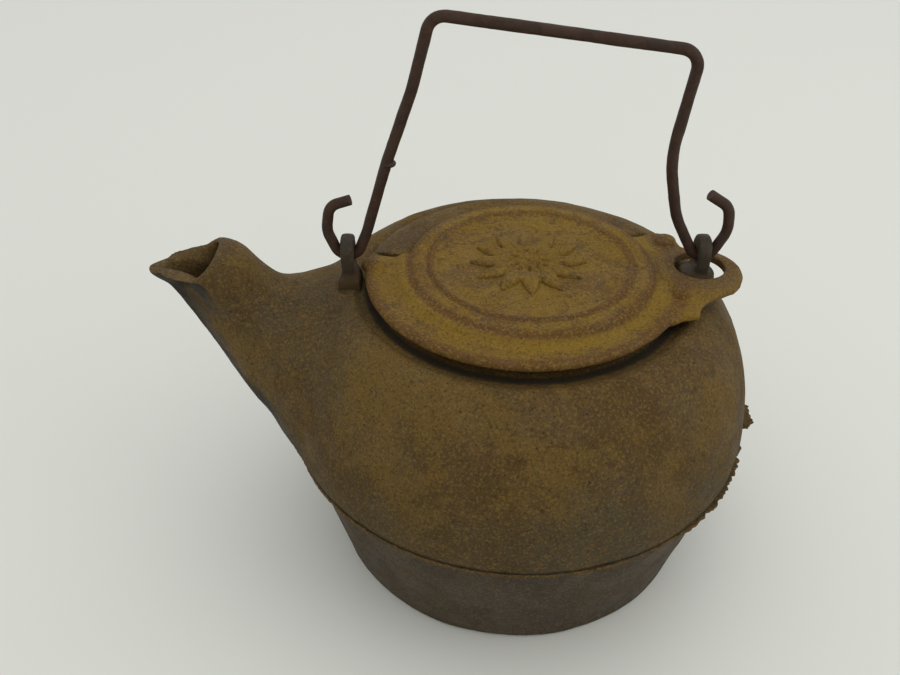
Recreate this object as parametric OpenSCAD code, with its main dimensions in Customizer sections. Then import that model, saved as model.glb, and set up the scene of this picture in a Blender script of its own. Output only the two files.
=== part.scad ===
// Cast-iron stove kettle: one hollow casting with a tapered stove well, a hooded
// spout and two ears, a lid that swings on the rear ear, and a bent-rod bail.
// Millimetres. +Z is up, the spout points to -X, the near side is -Y, and the
// origin is the middle of the flat base.

/* [Stove well] */
// Radius of the well where it meets the stove or floor
well_base_r = 92; // [80:1:98]
// Radius of the well where it joins the shell
well_top_r = 108.5; // [102:0.5:110]
// Height of the well, which is the height of the mould joint
well_h = 70; // [50:1:80]
// Rounding of the well's bottom edge
well_edge_r = 4; // [2:0.5:8]

/* [Shell] */
// Thickness of the iron
wall = 4; // [3:0.5:5]
// Largest radius of the shell
shell_r = 112; // [111:0.5:116]
// Radius of the flat deck around the lid
deck_r = 76.5; // [75.5:0.5:78]
// Height of the deck above the base
deck_z = 145.5; // [144:0.5:146]
// How far the flash stands out at the mould joint
flash_w = 2; // [1:0.5:3]

/* [Filling hole] */
// Radius of the filling hole
mouth_r = 50; // [42:1:52]
// How far the hole and the lid's ring sit behind the shell's axis
ring_x = 4; // [3:0.5:5]
// Height of the seat that the lid rests on, above the deck
seat_h = 2; // [1:0.5:2]
// Height of the stop rim, above the deck
stop_h = 3.9; // [3:0.1:4]
// Angle where the stop rim begins, from the rear
stop_from = 31; // [30:1:60]
// Angle where the stop rim ends, from the rear
stop_to = 166; // [120:1:167]

/* [Lid] */
// Radius of the lid's raised ring
ring_r = 57.5; // [55:0.5:57.5]
// Height of the flat middle of the lid above its foot
lid_h = 7.7; // [6:0.1:9]
// Radius of the flat middle
disc_r = 44.5; // [40:0.5:46]
// Radius of the half flange
flange_r = 73.2; // [70:0.1:73.4]
// Thickness of the flange's rounded lip
lip_t = 4.5; // [3:0.5:5]
// Number of petals in the flower
petals = 12; // [6:1:16]
// Distance from the flower's middle to a petal's tip
petal_tip_r = 26; // [20:1:30]

/* [Ears] */
// Distance of the front ear in front of the shell's axis
front_ear_x = 79.5; // [79:0.5:81]
// Distance of the rear ear behind the shell's axis
rear_ear_x = 82; // [81:0.5:83]
// Thickness of an ear
ear_t = 5; // [4:0.5:6]
// Width of an ear
ear_w = 14; // [12:0.5:15]
// Height of an ear's top above the base
ear_top_z = 169.5; // [168:0.5:170]
// Radius of the hole that the bail hooks into
ear_hole_r = 4.5; // [4.2:0.1:4.6]

/* [Bail] */
// Diameter of the bail's rod
rod_d = 5; // [4:0.5:5.5]
// Height of the bail's turning axis above the base
bail_z = 159; // [158:0.5:160]

/* [Spout] */
// Height of the pouring lip above the base
lip_z = 155; // [150:1:158]
// Thickness of the spout's wall
spout_wall = 3.6; // [3:0.2:4.5]

/* [Hidden] */
$fn = 96;

rust = [0.42, 0.31, 0.16];
soot = [0.27, 0.24, 0.2];
ochre = [0.55, 0.42, 0.16];
rod_brown = [0.28, 0.18, 0.12];

eps = 0.01;
seat_z = deck_z + seat_h;
lid_gap = 0.3;               // clearance between the lid and its seat
foot_z = seat_z + lid_gap;   // underside of the lid
disc_z = foot_z + lid_h;     // top of the lid's flat middle
disc_t = 4;                  // thickness of the lid's flat middle
flange_z = deck_z + 2.8;     // underside of the flange
flange_x = 1;                // centre of the flange's arc
lug_z = deck_z + stop_h + 0.4;
lug_t = 4;
lug_hole_r = 11.3;

// ---------- stove well ----------

// Outline of the well: a taper with a rounded foot, d inside the outer surface
function well_outline(d) = concat(
    [[0, d]],
    [for (a = [0 : 15 : 90])
        [well_base_r - d - well_edge_r + well_edge_r * sin(a),
         d + well_edge_r - well_edge_r * cos(a)]],
    [[well_top_r - d, well_h], [0, well_h]]);

module stove_well() {
    color(soot) difference() {
        rotate_extrude() polygon(well_outline(0));
        rotate_extrude() polygon(well_outline(wall));
        translate([0, 0, well_h - eps]) cylinder(r = well_top_r - wall, h = 1);
    }
}

// ---------- shell ----------

shell_waist_z = well_h + 6;  // where the shell is widest

// The shell's side: a quarter ellipse from its widest place up to the deck
function dome(d) = [for (a = [0 : 7.5 : 90])
    [deck_r + (shell_r - d - deck_r) * cos(a),
     shell_waist_z + (deck_z - d - shell_waist_z) * sin(a)]];

// Solid inside the shell's outer surface (d = 0) or inside its cavity (d = wall)
module dome_solid(d) {
    low_z = well_h - (d > 0 ? eps : 0);
    rotate_extrude() polygon(concat(
        [[0, low_z], [well_top_r + (d > 0 ? 0 : 1.5) - d, low_z]],
        dome(d),
        [[0, deck_z - d]]));
}

// Flash left where the two halves of the mould met, with the stub of the gate
module flash() {
    difference() {
        union() {
            cylinder(r = shell_r + flash_w - 1, h = 1.6);
            rotate([0, 0, -7]) translate([shell_r - 2, -9, 0]) cube([11, 14, 3.2]);
        }
        translate([0, 0, -1]) cylinder(r = well_top_r - 1, h = 6);
    }
}

// Raised half rim behind the filling hole: the lid's ring closes against it
module stop_rim() {
    r_in = 55;
    r_out = 74;
    difference() {
        translate([2, 0, deck_z - eps]) rotate([0, 0, stop_from])
            rotate_extrude(angle = stop_to - stop_from) intersection() {
                translate([65.5, -8]) circle(r = stop_h + 8);
                translate([r_in, 0]) square([r_out - r_in, stop_h]);
            }
        translate([ring_x, 0, deck_z]) cylinder(r = ring_r + 0.5, h = 10);
    }
}

// Curved wall of the body, from the mould joint up to the flat deck
module kettle_shell() {
    color(rust) difference() {
        union() {
            dome_solid(0);
            translate([0, 0, well_h]) flash();
        }
        dome_solid(wall);
        cylinder(r = deck_r, h = 2 * deck_z);
        loft(passage_rings);
    }
}

// Flat deck with the filling hole, the lid's seat round it and the stop rim behind it
module deck() {
    color(rust) difference() {
        union() {
            translate([0, 0, deck_z - wall]) cylinder(r = deck_r, h = wall);
            translate([ring_x, 0, deck_z - 1]) cylinder(r = ring_r + 0.5, h = seat_h + 1);
            stop_rim();
        }
        translate([ring_x, 0, deck_z - 20]) cylinder(r = mouth_r, h = 40);
    }
}

// ---------- spout ----------

// Stations along the spout. Each is a tilted slice from its keel point to its crest point:
// [keel x, keel z, crest x, crest z, half width, flat width, chine width, chine height, side height]
// The flat width is the half width of the flat underside, the chine is the edge between
// the bow-shaped underside and the side, and heights are fractions of the slice.
stations = [
    [ -62, 70,    -42, 131,   66,   62,  62,   0.00, 0.45],
    [ -92, 70,    -66, 142,   62,   57,  57,   0.00, 0.45],
    [-112, 70,    -80, 144,   52,   28,  29,   0.01, 0.47],
    [-128, 70,    -91, 143.8, 40,   2,   25,   0.24, 0.52],
    [-138, 86.5, -102, 142.2, 29,   0,   22,   0.26, 0.58],
    [-149, 108,  -112, 142.8, 22,   0,   18,   0.32, 0.60],
    [-157, 124,  -120, 150,   19.2, 0,   14.5, 0.38, 0.64],
    [-163, 135,  -128, 159.4, 18.5, 0,   12,   0.40, 0.66],
    [-167, 142,  -136, 162.8, 18.5, 0,   10,   0.40, 0.66],
    [-170, 146,  -150, 165,   17.8, 0,   8,    0.36, 0.60],
    [-172, 150,  -164, 165,   13.5, 0,   5,    0.30, 0.50],
    [-173, 154,  -173, 163,   5.5,  0,   2,    0.30, 0.50]];

// Catmull-Rom blend of four values
function blend4(a, b, c, d, t) = 0.5 * (2 * b + (c - a) * t
    + (2 * a - 5 * b + 4 * c - d) * t * t + (3 * b - a - 3 * c + d) * t * t * t);

// The station at position s, with s = 0 at the first and one unit between stations
function station(s) = let (
    last = len(stations) - 1,
    i = min(floor(s), last - 1),
    row = function (k) stations[max(0, min(last, k))])
    blend4(row(i - 1), row(i), row(i + 1), row(i + 2), s - i);

// Half of a slice's outline, from the keel round the side to the crest, as [across, up]
function half_slice(w, flat, chine_w, chine_v, side_v, h) = concat(
    [[0, 0], [max(flat, 0.6), 0]],
    [[max(flat, 0.6) * 0.4 + chine_w * 0.6 + 0.1, chine_v * 0.55]],
    [for (a = [0 : 22.5 : 67.5])
        [chine_w + (w - chine_w) * sin(a),
         chine_v + (side_v - chine_v) * (1 - cos(a) + sin(a)) / 2]],
    [for (a = [0 : 15 : 90])
        [w * pow(cos(a), 0.85), side_v + (h - side_v) * pow(sin(a), 0.85)]]);

// A whole slice as points in space, d inside the spout's outer surface
function slice(s, d) = let (
    q = station(s),
    keel = [q[0], max(q[1], well_h)],
    crest = [q[2], q[3]],
    h = norm(crest - keel),
    up = (crest - keel) / h,
    low = d > 0 ? d * 1.4 : 0,
    half = half_slice(q[4] - d, max(q[5] - d, 0), max(q[6] - d, 0.8),
        max(q[7] * h - low * 0.5, d > 0 ? 0.6 : 0.2), q[8] * h - low, h - low - d),
    n = len(half),
    base = keel + up * low)
    concat(
        [for (p = half) [base[0] + up[0] * p[1], p[0], base[1] + up[1] * p[1]]],
        [for (i = [n - 2 : -1 : 1])
            [base[0] + up[0] * half[i][1], -half[i][0], base[1] + up[1] * half[i][1]]]);

spout_rings = [for (s = [0 : 0.5 : len(stations) - 1]) slice(s, 0)];
passage_rings = [for (s = [0 : 0.5 : len(stations) - 2]) slice(s, spout_wall)];

// Closed solid through a list of rings that all have the same number of points
module loft(rings) {
    n = len(rings[0]);
    m = len(rings);
    polyhedron(
        points = [for (r = rings) each r],
        faces = concat(
            [[for (i = [n - 1 : -1 : 0]) i]],
            [for (j = [0 : m - 2], i = [0 : n - 1])
                [j * n + i, j * n + (i + 1) % n, (j + 1) * n + (i + 1) % n, (j + 1) * n + i]],
            [[for (i = [0 : n - 1]) (m - 1) * n + i]]),
        convexity = 6);
}

// Everything in front of the hood and above the pouring lip
module mouth_cut() {
    rotate([90, 0, 0]) translate([0, 0, -60]) linear_extrude(height = 120)
        polygon([[-200, lip_z - 1], [-172, lip_z - 1], [-148, lip_z + 0.8], [-136.8, 163.6],
            [-136, 200], [-200, 200]]);
}

// The spout is faceted all over: each stretch between two slices is the hull of its rings
module spout() {
    color(rust) difference() {
        for (j = [0 : len(spout_rings) - 2]) hull() loft([spout_rings[j], spout_rings[j + 1]]);
        loft(passage_rings);
        mouth_cut();
        dome_solid(-0.1);
        translate([0, 0, well_h - 1]) cylinder(r = shell_r + flash_w, h = 2.7);
        translate([-front_ear_x - ear_t / 2, -ear_w / 2, well_h]) cube([20, ear_w, 100]);
    }
}

// ---------- ears ----------

// A flat ear across the kettle with a round top and a hole along X
module ear_plate() {
    top_c = ear_top_z - ear_w / 2;
    rotate([90, 0, 90]) translate([0, 0, -ear_t / 2]) linear_extrude(height = ear_t)
        difference() {
            union() {
                translate([0, top_c]) circle(d = ear_w);
                translate([-ear_w / 2, deck_z - 12]) square([ear_w, top_c - deck_z + 12]);
            }
            translate([0, bail_z]) circle(r = ear_hole_r);
        }
}

module front_ear() {
    color(soot) difference() {
        translate([-front_ear_x, 0, 0]) ear_plate();
        dome_solid(0);
    }
}

// The rear ear also carries the round boss that the lid's lug turns on
module rear_ear() {
    color(soot) difference() {
        union() {
            translate([rear_ear_x, 0, 0]) ear_plate();
            translate([rear_ear_x - 1, 0, deck_z - 12]) cylinder(r = 8.6, h = lug_z - deck_z + 14);
        }
        dome_solid(0);
    }
}

// ---------- lid ----------

// Ring and flat middle of the lid, about the ring's own axis
module lid_ring() {
    translate([ring_x, 0, 0]) rotate_extrude() polygon([
        [0, disc_z - disc_t], [disc_r, disc_z - disc_t], [49, foot_z], [ring_r, foot_z],
        [ring_r, foot_z + 3.6], [ring_r - 0.8, foot_z + 5], [54.5, disc_z],
        [52.5, disc_z + 1], [50, disc_z + 1.3], [48.4, disc_z + 0.7], [47.6, disc_z + 0.7],
        [46.8, disc_z + 1.3], [45.6, disc_z + 1.2], [disc_r, disc_z], [0, disc_z]]);
}

// Half flange on the near side, with a rounded outer lip
module lid_flange() {
    translate([flange_x, 0, flange_z]) rotate([0, 0, 172]) rotate_extrude(angle = 150) {
        polygon([[51, 0], [flange_r - lip_t / 2, 0], [flange_r - lip_t / 2, 3.8], [60, 3.2],
            [58, 3.8], [51, 3.8]]);
        translate([flange_r - lip_t / 2, lip_t / 2]) circle(d = lip_t, $fn = 32);
    }
}

// Lug that reaches back round the rear ear, with a cusp at its near root and a lobe at its far one
module lid_lug() {
    difference() {
        union() {
            translate([0, 0, lug_z]) linear_extrude(height = lug_t) {
                translate([rear_ear_x - 1, -3]) circle(r = 20);
                polygon([[48, 28], [60, 27.5], [66, 30.5], [72, 31.5], [75.5, 28], [78, 17],
                    [88, 16], [90, -20.8], [80, -26.5], [75.5, -31], [73.5, -39.5],
                    [66.5, -39.5], [60.5, -44], [48, -36]]);
            }
            for (y = [-22, 22]) translate([70.5, y, lug_z + lug_t - 2.5]) sphere(r = 5, $fn = 48);
        }
        translate([rear_ear_x, 0, lug_z - 5]) cylinder(r = lug_hole_r, h = 20);
        translate([ring_x, 0, lug_z - 10]) cylinder(r = ring_r - 3, h = 30);
        translate([50, -60, lug_z - 10]) cube([60, 120, 10]);
    }
}

// One pointed petal: the overlap of two circles
module petal() {
    length = petal_tip_r - 8;
    half_w = 3.3;
    r = (length * length / 4 + half_w * half_w) / (2 * half_w);
    translate([8 + length / 2, 0]) intersection() {
        translate([0, r - half_w]) circle(r = r);
        translate([0, half_w - r]) circle(r = r);
    }
}

module flower() {
    translate([ring_x - 1, 0, disc_z - eps]) {
        for (i = [0 : petals - 1]) rotate([0, 0, i * 360 / petals])
            linear_extrude(height = 1.1) petal();
        cylinder(r = 6, h = 1.3);
    }
}

module lid() {
    color(ochre) {
        lid_ring();
        lid_flange();
        lid_lug();
        flower();
    }
}

// ---------- bail ----------

// Bends of the rod, from the front hook over the top to the rear hook: [x, z, bend radius]
bends = [
    [ -76.8, 187.6,  0],
    [ -86.4, 184.6,  6.5],
    [ -88.4, 172.3,  12],
    [ -79.6, 149.5,  6],
    [ -70.6, 171,    40],
    [ -60,   206,    60],
    [ -48.5, 238,    60],
    [ -40.5, 268,    7],
    [  67,   253.5,  8],
    [  61,   207,    60],
    [  67.4, 179.4,  40],
    [  82.2, 151.8,  6.2],
    [  91.9, 172.2,  14],
    [  90.4, 184,    8],
    [  81,   190,    0]];

bend_lap = 0.6;              // how far a straight runs on inside a bend

function unit(v) = v / norm(v);
function bend_p(i) = [bends[i][0], bends[i][1]];
function turn(i) = let (u = unit(bend_p(i) - bend_p(i - 1)), v = unit(bend_p(i + 1) - bend_p(i)))
    atan2(u[0] * v[1] - u[1] * v[0], u * v);
// Length of straight taken off each side of a corner by its bend
function trim_len(i) = (i == 0 || i == len(bends) - 1) ? 0 : bends[i][2] * tan(abs(turn(i)) / 2);

// Everything here is drawn flat, with the rod's plane in XY, and then stood up
module straight(i) {
    u = unit(bend_p(i + 1) - bend_p(i));
    a = bend_p(i) + u * (trim_len(i) - (i == 0 ? 0 : bend_lap));
    b = bend_p(i + 1) - u * (trim_len(i + 1) - (i == len(bends) - 2 ? 0 : bend_lap));
    translate([a[0], a[1], 0]) rotate([0, 0, atan2(u[1], u[0])]) rotate([0, 90, 0])
        cylinder(d = rod_d, h = norm(b - a), $fn = 32);
}

// A bend is a hair thicker than the straights, which end inside it
module bend(i) {
    u = unit(bend_p(i) - bend_p(i - 1));
    side = sign(turn(i));
    start = bend_p(i) - u * trim_len(i);
    centre = start + side * bends[i][2] * [-u[1], u[0]];
    from = atan2(start[1] - centre[1], start[0] - centre[0]);
    translate([centre[0], centre[1], 0]) rotate([0, 0, side > 0 ? from : from + turn(i)])
        rotate_extrude(angle = abs(turn(i)), $fn = 96)
            translate([bends[i][2], 0]) circle(d = rod_d + 0.12, $fn = 32);
}

module bail() {
    color(rod_brown) rotate([90, 0, 0]) {
        for (i = [0 : len(bends) - 2]) straight(i);
        for (i = [1 : len(bends) - 2]) bend(i);
    }
}

stove_well();
kettle_shell();
deck();
spout();
front_ear();
rear_ear();
lid();
bail();
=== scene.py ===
# %% [markdown]
# # A cast-iron stove kettle, rebuilt around its CAD frame
# The real kettle is three loose pieces. The casting holds the water and pours it. The lid swings
# on a lug at the back. The bail is a bent rod, hooked into two ears. The CAD frame fixes the
# joints and the overall size. Some details here differ from it by up to about 3 mm. This lesson
# gives each piece the worn, sandy, rusted surface of old iron.

# %% Load the frame and keep its box
import math

import bmesh
import bpy
from mathutils import Matrix, Vector, noise


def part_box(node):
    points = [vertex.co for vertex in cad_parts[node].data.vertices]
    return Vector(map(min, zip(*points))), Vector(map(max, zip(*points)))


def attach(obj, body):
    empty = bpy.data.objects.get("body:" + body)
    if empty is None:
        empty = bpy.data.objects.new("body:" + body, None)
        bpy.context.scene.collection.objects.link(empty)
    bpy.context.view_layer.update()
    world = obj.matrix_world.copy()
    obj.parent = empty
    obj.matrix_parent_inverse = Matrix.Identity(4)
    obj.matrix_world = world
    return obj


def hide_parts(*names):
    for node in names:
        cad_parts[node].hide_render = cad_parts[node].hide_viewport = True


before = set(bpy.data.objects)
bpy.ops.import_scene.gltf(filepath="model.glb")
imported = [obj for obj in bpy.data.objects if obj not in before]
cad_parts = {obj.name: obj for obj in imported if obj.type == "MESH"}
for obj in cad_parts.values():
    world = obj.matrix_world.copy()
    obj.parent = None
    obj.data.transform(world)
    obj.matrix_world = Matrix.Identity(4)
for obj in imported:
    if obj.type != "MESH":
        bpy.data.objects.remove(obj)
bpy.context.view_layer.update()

# %% [markdown]
# Sizes below are in millimetres, as a founder would write them, and Blender works in metres.
# Every operator acts on whatever is selected, so each step starts by selecting nothing.
# The helpers here do the small jobs that every piece needs.

# %% Small helpers
MM = 0.001


def mm(*values):
    return Vector([value * MM for value in values])


def select_only(obj):
    if bpy.context.mode != "OBJECT":
        bpy.ops.object.mode_set(mode="OBJECT")
    bpy.ops.object.select_all(action="DESELECT")
    bpy.context.view_layer.objects.active = obj
    if obj:
        obj.select_set(True)


def settle(obj):
    select_only(obj)
    bpy.ops.object.transform_apply(location=True, rotation=True, scale=True)


def apply_modifier(obj, kind, **settings):
    select_only(obj)
    modifier = obj.modifiers.new(kind.title(), kind)
    for key, value in settings.items():
        setattr(modifier, key, value)
    bpy.ops.object.modifier_apply(modifier=modifier.name)


def combine(obj, other, how):
    apply_modifier(obj, "BOOLEAN", operation=how, object=other, solver="EXACT")
    bpy.data.objects.remove(other, do_unlink=True)


def measure(obj):
    mesh = bmesh.new()
    mesh.from_mesh(obj.data)
    open_edges = sum(1 for edge in mesh.edges if not edge.is_manifold)
    litres = mesh.calc_volume(signed=True) * 1000
    mesh.free()
    triangles = sum(len(face.vertices) - 2 for face in obj.data.polygons)
    print(f"{obj.name}: {triangles} triangles, {open_edges} open edges, {litres:.4f} litres")


# %% [markdown]
# A turned shape grows as on a lathe. A filled circle is extruded upward ring by ring, and each
# new ring is moved and scaled to the outline. The last ring is the closing face. The same walk
# can turn inward at a rim and go down again, which leaves a hollow with a real wall.

# %% Turned shapes
def turned(name, outline, sides=144):
    """A closed solid through rings of (centre x, radius, height)."""
    x, radius, z = outline[0]
    select_only(None)
    bpy.ops.mesh.primitive_circle_add(
        vertices=sides, radius=radius * MM, fill_type="NGON", location=mm(x, 0, z))
    obj = bpy.context.object
    obj.name = name
    settle(obj)
    bpy.ops.object.mode_set(mode="EDIT")
    bpy.ops.mesh.select_all(action="SELECT")
    for new_x, new_radius, new_z in outline[1:]:
        grow = new_radius / radius
        bpy.ops.mesh.extrude_region()
        bpy.ops.transform.translate(value=mm(new_x - x, 0, new_z - z))
        bpy.ops.transform.resize(value=(grow, grow, 1), center_override=mm(new_x, 0, new_z))
        x, radius, z = new_x, new_radius, new_z
    bpy.ops.mesh.select_all(action="SELECT")
    bpy.ops.mesh.normals_make_consistent(inside=False)
    bpy.ops.object.mode_set(mode="OBJECT")
    return obj


def line(start, end, steps):
    """Points from start to end, the start left out."""
    return [tuple(a + (b - a) * i / steps for a, b in zip(start, end))
            for i in range(1, steps + 1)]


# %% [markdown]
# Some slices are not round, such as the spout's, which is shaped like the bow of a boat.
# No primitive has that outline. So its rings are written into the mesh by code, and each ring
# is joined to the next one by a row of faces.

# %% Lofted shapes
def lofted(name, rings):
    """A closed solid through rings of points that all have the same number of corners."""
    count = len(rings[0])
    rows = len(rings)
    points = [tuple(Vector(point) * MM) for ring in rings for point in ring]
    faces = [[j * count + i, j * count + (i + 1) % count,
              (j + 1) * count + (i + 1) % count, (j + 1) * count + i]
             for j in range(rows - 1) for i in range(count)]
    faces.append(list(range(count)))
    faces.append([(rows - 1) * count + i for i in range(count)])
    data = bpy.data.meshes.new(name)
    data.from_pydata(points, [], faces)
    obj = bpy.data.objects.new(name, data)
    bpy.context.scene.collection.objects.link(obj)
    select_only(obj)
    bpy.ops.object.mode_set(mode="EDIT")
    bpy.ops.mesh.select_all(action="SELECT")
    bpy.ops.mesh.normals_make_consistent(inside=False)
    bpy.ops.object.mode_set(mode="OBJECT")
    return obj


# %% [markdown]
# Sand casting leaves soft edges and a slightly lumpy skin. A voxel remesh melts joined parts
# into one skin with small fillets. A few rounds of smoothing take out its steps. A cloudy
# displacement then gives the uneven surface of metal that was poured into packed sand.

# %% Make a shape look cast
def cast_skin(obj, voxel, smooth_rounds, lumps=()):
    select_only(obj)
    obj.data.remesh_voxel_size = voxel * MM
    bpy.ops.object.voxel_remesh()
    apply_modifier(obj, "SMOOTH", factor=0.5, iterations=smooth_rounds)
    for size, depth in lumps:
        roughen(obj, size, depth)


def roughen(obj, size, depth):
    """Move the skin in and out by up to half of depth, in lumps of about size."""
    clouds = bpy.data.textures.new(f"{obj.name}_lumps", type="CLOUDS")
    clouds.noise_scale = size * MM
    clouds.noise_depth = 2
    apply_modifier(obj, "DISPLACE", texture=clouds, strength=depth * MM, mid_level=0.5)


def smooth_shading(obj, angle=180):
    select_only(obj)
    bpy.ops.object.shade_smooth_by_angle(angle=math.radians(angle), keep_sharp_edges=False)


# %% [markdown]
# ## The stove well
# The lowest part of the casting drops into the open hole of a stove, so it is a plain taper
# with a small rounded foot. It was made in the lower half of the mould. Its wall is hollow,
# so the outline climbs the outside, turns in at the mould joint and goes down the inside.

# %% Turn the stove well
well_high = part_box("stove_well")[1]
JOINT_Z = well_high.z / MM
WELL_TOP_R = well_high.x / MM
WELL_BASE_R = 92
WALL = 4
print("mould joint at", round(JOINT_Z, 2), "mm, well radius", round(WELL_TOP_R, 2), "mm")

foot = [(0, WELL_BASE_R - 4 + 4 * math.sin(math.radians(a)), 4 - 4 * math.cos(math.radians(a)))
        for a in (0, 20, 40, 60, 80)]
outside = line((0, WELL_BASE_R, 4), (0, WELL_TOP_R - 0.3, JOINT_Z - 0.9), 16)
edge = [(0, WELL_TOP_R - 0.9, JOINT_Z - 0.15), (0, WELL_TOP_R - 4.2, JOINT_Z - 0.15)]
inside = line((0, WELL_TOP_R - 4.4, JOINT_Z - 1), (0, WELL_BASE_R - WALL, 8), 8)
floor_in = [(0, 87, 5.6), (0, 84.5, 4.2), (0, 60, 4), (0, 20, 4)]
well = turned("stove_well_casting", [(0, 60, 0)] + foot + [(0, WELL_BASE_R, 4)] + outside + edge
              + inside + floor_in, 180)
roughen(well, 26, 1.0)
roughen(well, 5, 0.25)

# The bottom is pressed flat again, so that the kettle still stands level
for corner in well.data.vertices:
    if corner.co.z < 0.35 * MM:
        corner.co.z = 0
smooth_shading(well, 50)
measure(well)

# %% [markdown]
# ## The body and its spout
# The round shoulder, the flat deck and the spout were made in the upper half of the mould.
# The shoulder is a quarter of an ellipse. The deck has a raised seat round the filling hole.
# A shallow hollow runs round the deck's edge, under the lip of the lid.

# %% Outline of the body
DECK_R, DECK_Z = 76.5, 145.5
SHELL_R, WAIST_Z = 112, 76
RING_X = 4


def shoulder(inset, first, last, steps):
    """The quarter ellipse, inset from the outer skin, between two angles in degrees."""
    angles = [math.radians(first + (last - first) * i / steps) for i in range(steps + 1)]
    return [(0, DECK_R + (SHELL_R - inset - DECK_R) * math.cos(a),
             WAIST_Z + (DECK_Z - inset - WAIST_Z) * math.sin(a)) for a in angles]


body_outline = [(0, 100, JOINT_Z), (0, 108.2, JOINT_Z), (0, 110.3, JOINT_Z + 0.7),
                (0, 111.4, JOINT_Z + 2.4)]
body_outline += shoulder(0, 3, 83, 22)
body_outline += [(0, 78.8, 145.2), (0, 77, 144.2), (0, 75.2, 143.3), (0.5, 71, 143.1),
                 (2, 64, 143.8), (RING_X, 59.2, 144.6), (RING_X, 58.2, 146.9),
                 (RING_X, 57.2, 147.3), (RING_X, 40, 147.3)]
body = turned("kettle_casting", body_outline, 160)
hollow_outline = [(0, 103.9, JOINT_Z - 1), (0, 104.2, JOINT_Z + 1), (0, 107.2, JOINT_Z + 3)]
hollow_outline += shoulder(WALL, 2, 88, 16)
hollow_outline += [(RING_X, 56, 141.4), (RING_X, 51.5, 141.6), (RING_X, 50, 143),
                   (RING_X, 50, 160), (RING_X, 30, 160)]
hollow = turned("hollow", hollow_outline, 120)
measure(body)
measure(hollow)

# %% [markdown]
# The spout's slices are tilted, from a point on its keel to a point on its crest. Each slice
# has a narrow bottom, a sharp chine where the bow turns into the side, and a round top.
# A smooth curve through the listed slices gives as many in-between slices as are needed.

# %% Slices of the spout
# keel x, keel z, crest x, crest z, half width, half flat, half chine, chine height, side height
SLICES = [
    (-62, 70, -42, 131, 66, 62, 62, 0.00, 0.45),
    (-92, 70, -66, 142, 62, 57, 57, 0.00, 0.45),
    (-112, 70, -80, 144, 52, 28, 29, 0.01, 0.47),
    (-128, 70, -91, 143.8, 40, 2, 25, 0.24, 0.52),
    (-137.4, 87, -102, 142.2, 29, 0, 22, 0.26, 0.58),
    (-147.2, 109, -112, 142.8, 22, 0, 18, 0.32, 0.60),
    (-154.6, 125.2, -120, 150, 19.2, 0, 14.5, 0.38, 0.64),
    (-160.2, 136.6, -128, 159.4, 18.5, 0, 12, 0.40, 0.66),
    (-164.4, 143.6, -136, 162.8, 18.5, 0, 10, 0.40, 0.66),
    (-169.2, 147, -150, 165, 17.8, 0, 8, 0.36, 0.60),
    (-172, 150, -164, 165, 13.5, 0, 5, 0.30, 0.50),
    (-173, 154, -173, 163, 5.5, 0, 2, 0.30, 0.50)]


def blended(row, t):
    """The slice a part t of the way from one row to the next, on a smooth curve."""
    last = len(SLICES) - 1
    a, b, c, d = [SLICES[max(0, min(last, row + k))] for k in (-1, 0, 1, 2)]
    return [0.5 * (2 * q + (r - p) * t + (2 * p - 5 * q + 4 * r - s) * t * t
                   + (3 * q - p - 3 * r + s) * t ** 3) for p, q, r, s in zip(a, b, c, d)]


def half_outline(width, flat, chine_w, chine_v, side_v, height):
    """One side of a slice from the keel round to the crest, as (across, up)."""
    points = [(0, 0), (flat, 0), (flat * 0.4 + chine_w * 0.6 + 0.1, chine_v * 0.55)]
    for a in range(0, 90, 15):
        s, c = math.sin(math.radians(a)), math.cos(math.radians(a))
        points.append((chine_w + (width - chine_w) * s,
                       chine_v + (side_v - chine_v) * (1 - c + s) / 2))
    for a in range(0, 91, 10):
        s, c = math.sin(math.radians(a)), math.cos(math.radians(a))
        points.append((width * max(c, 0) ** 0.85, side_v + (height - side_v) * s ** 0.85))
    return points


def spout_ring(row, t, inset):
    q = blended(row, t)
    keel = Vector((q[0], 0, max(q[1], 70.0)))
    crest = Vector((q[2], 0, q[3]))
    height = (crest - keel).length
    up = (crest - keel) / height
    low = inset * 1.4
    half = half_outline(q[4] - inset, max(q[5] - inset, 0.6), max(q[6] - inset, 0.8),
                        max(q[7] * height - low * 0.5, 0.6 if inset else 0.2),
                        q[8] * height - low, height - low - inset)
    base = keel + up * low
    left = [base + up * v + Vector((0, across, 0)) for across, v in half]
    right = [base + up * v - Vector((0, across, 0)) for across, v in half[-2:0:-1]]
    return left + right


def spout_shape(name, rows, inset):
    rings = [spout_ring(row, t / 4, inset) for row in range(rows) for t in range(4)]
    rings.append(spout_ring(rows - 1, 1, inset))
    return lofted(name, rings)


spout = spout_shape("spout_outside", 11, 0)
passage = spout_shape("spout_passage", 10, 4.2)
measure(spout)
measure(passage)

# %% [markdown]
# The mouth is a boat-shaped lip in front of a short hood. One straight cut makes both: level
# along the lip and slanting up over the hood. The cut is a flat outline with some depth.

# %% Join the spout and cut its mouth
mouth_side = [(-200, 154), (-172, 154), (-148, 155.8), (-136.8, 163.6), (-136, 200), (-200, 200)]
mouth = lofted("mouth_cut", [[(x, y, z) for x, z in mouth_side] for y in (-60, 60)])
combine(spout, mouth, "DIFFERENCE")

# %% [markdown]
# Behind the filling hole a low crescent stands up from the deck. The lid's ring stops against
# it. Its section is a flat arch, carried round part of a circle.

# %% Stop rim
def arc_shape(name, centre_x, first, last, steps, section):
    """A section of (radius, height) points carried round an upright axis."""
    rings = []
    for i in range(steps + 1):
        a = math.radians(first + (last - first) * i / steps)
        rings.append([(centre_x + r * math.cos(a), r * math.sin(a), z) for r, z in section])
    return lofted(name, rings)


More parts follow.
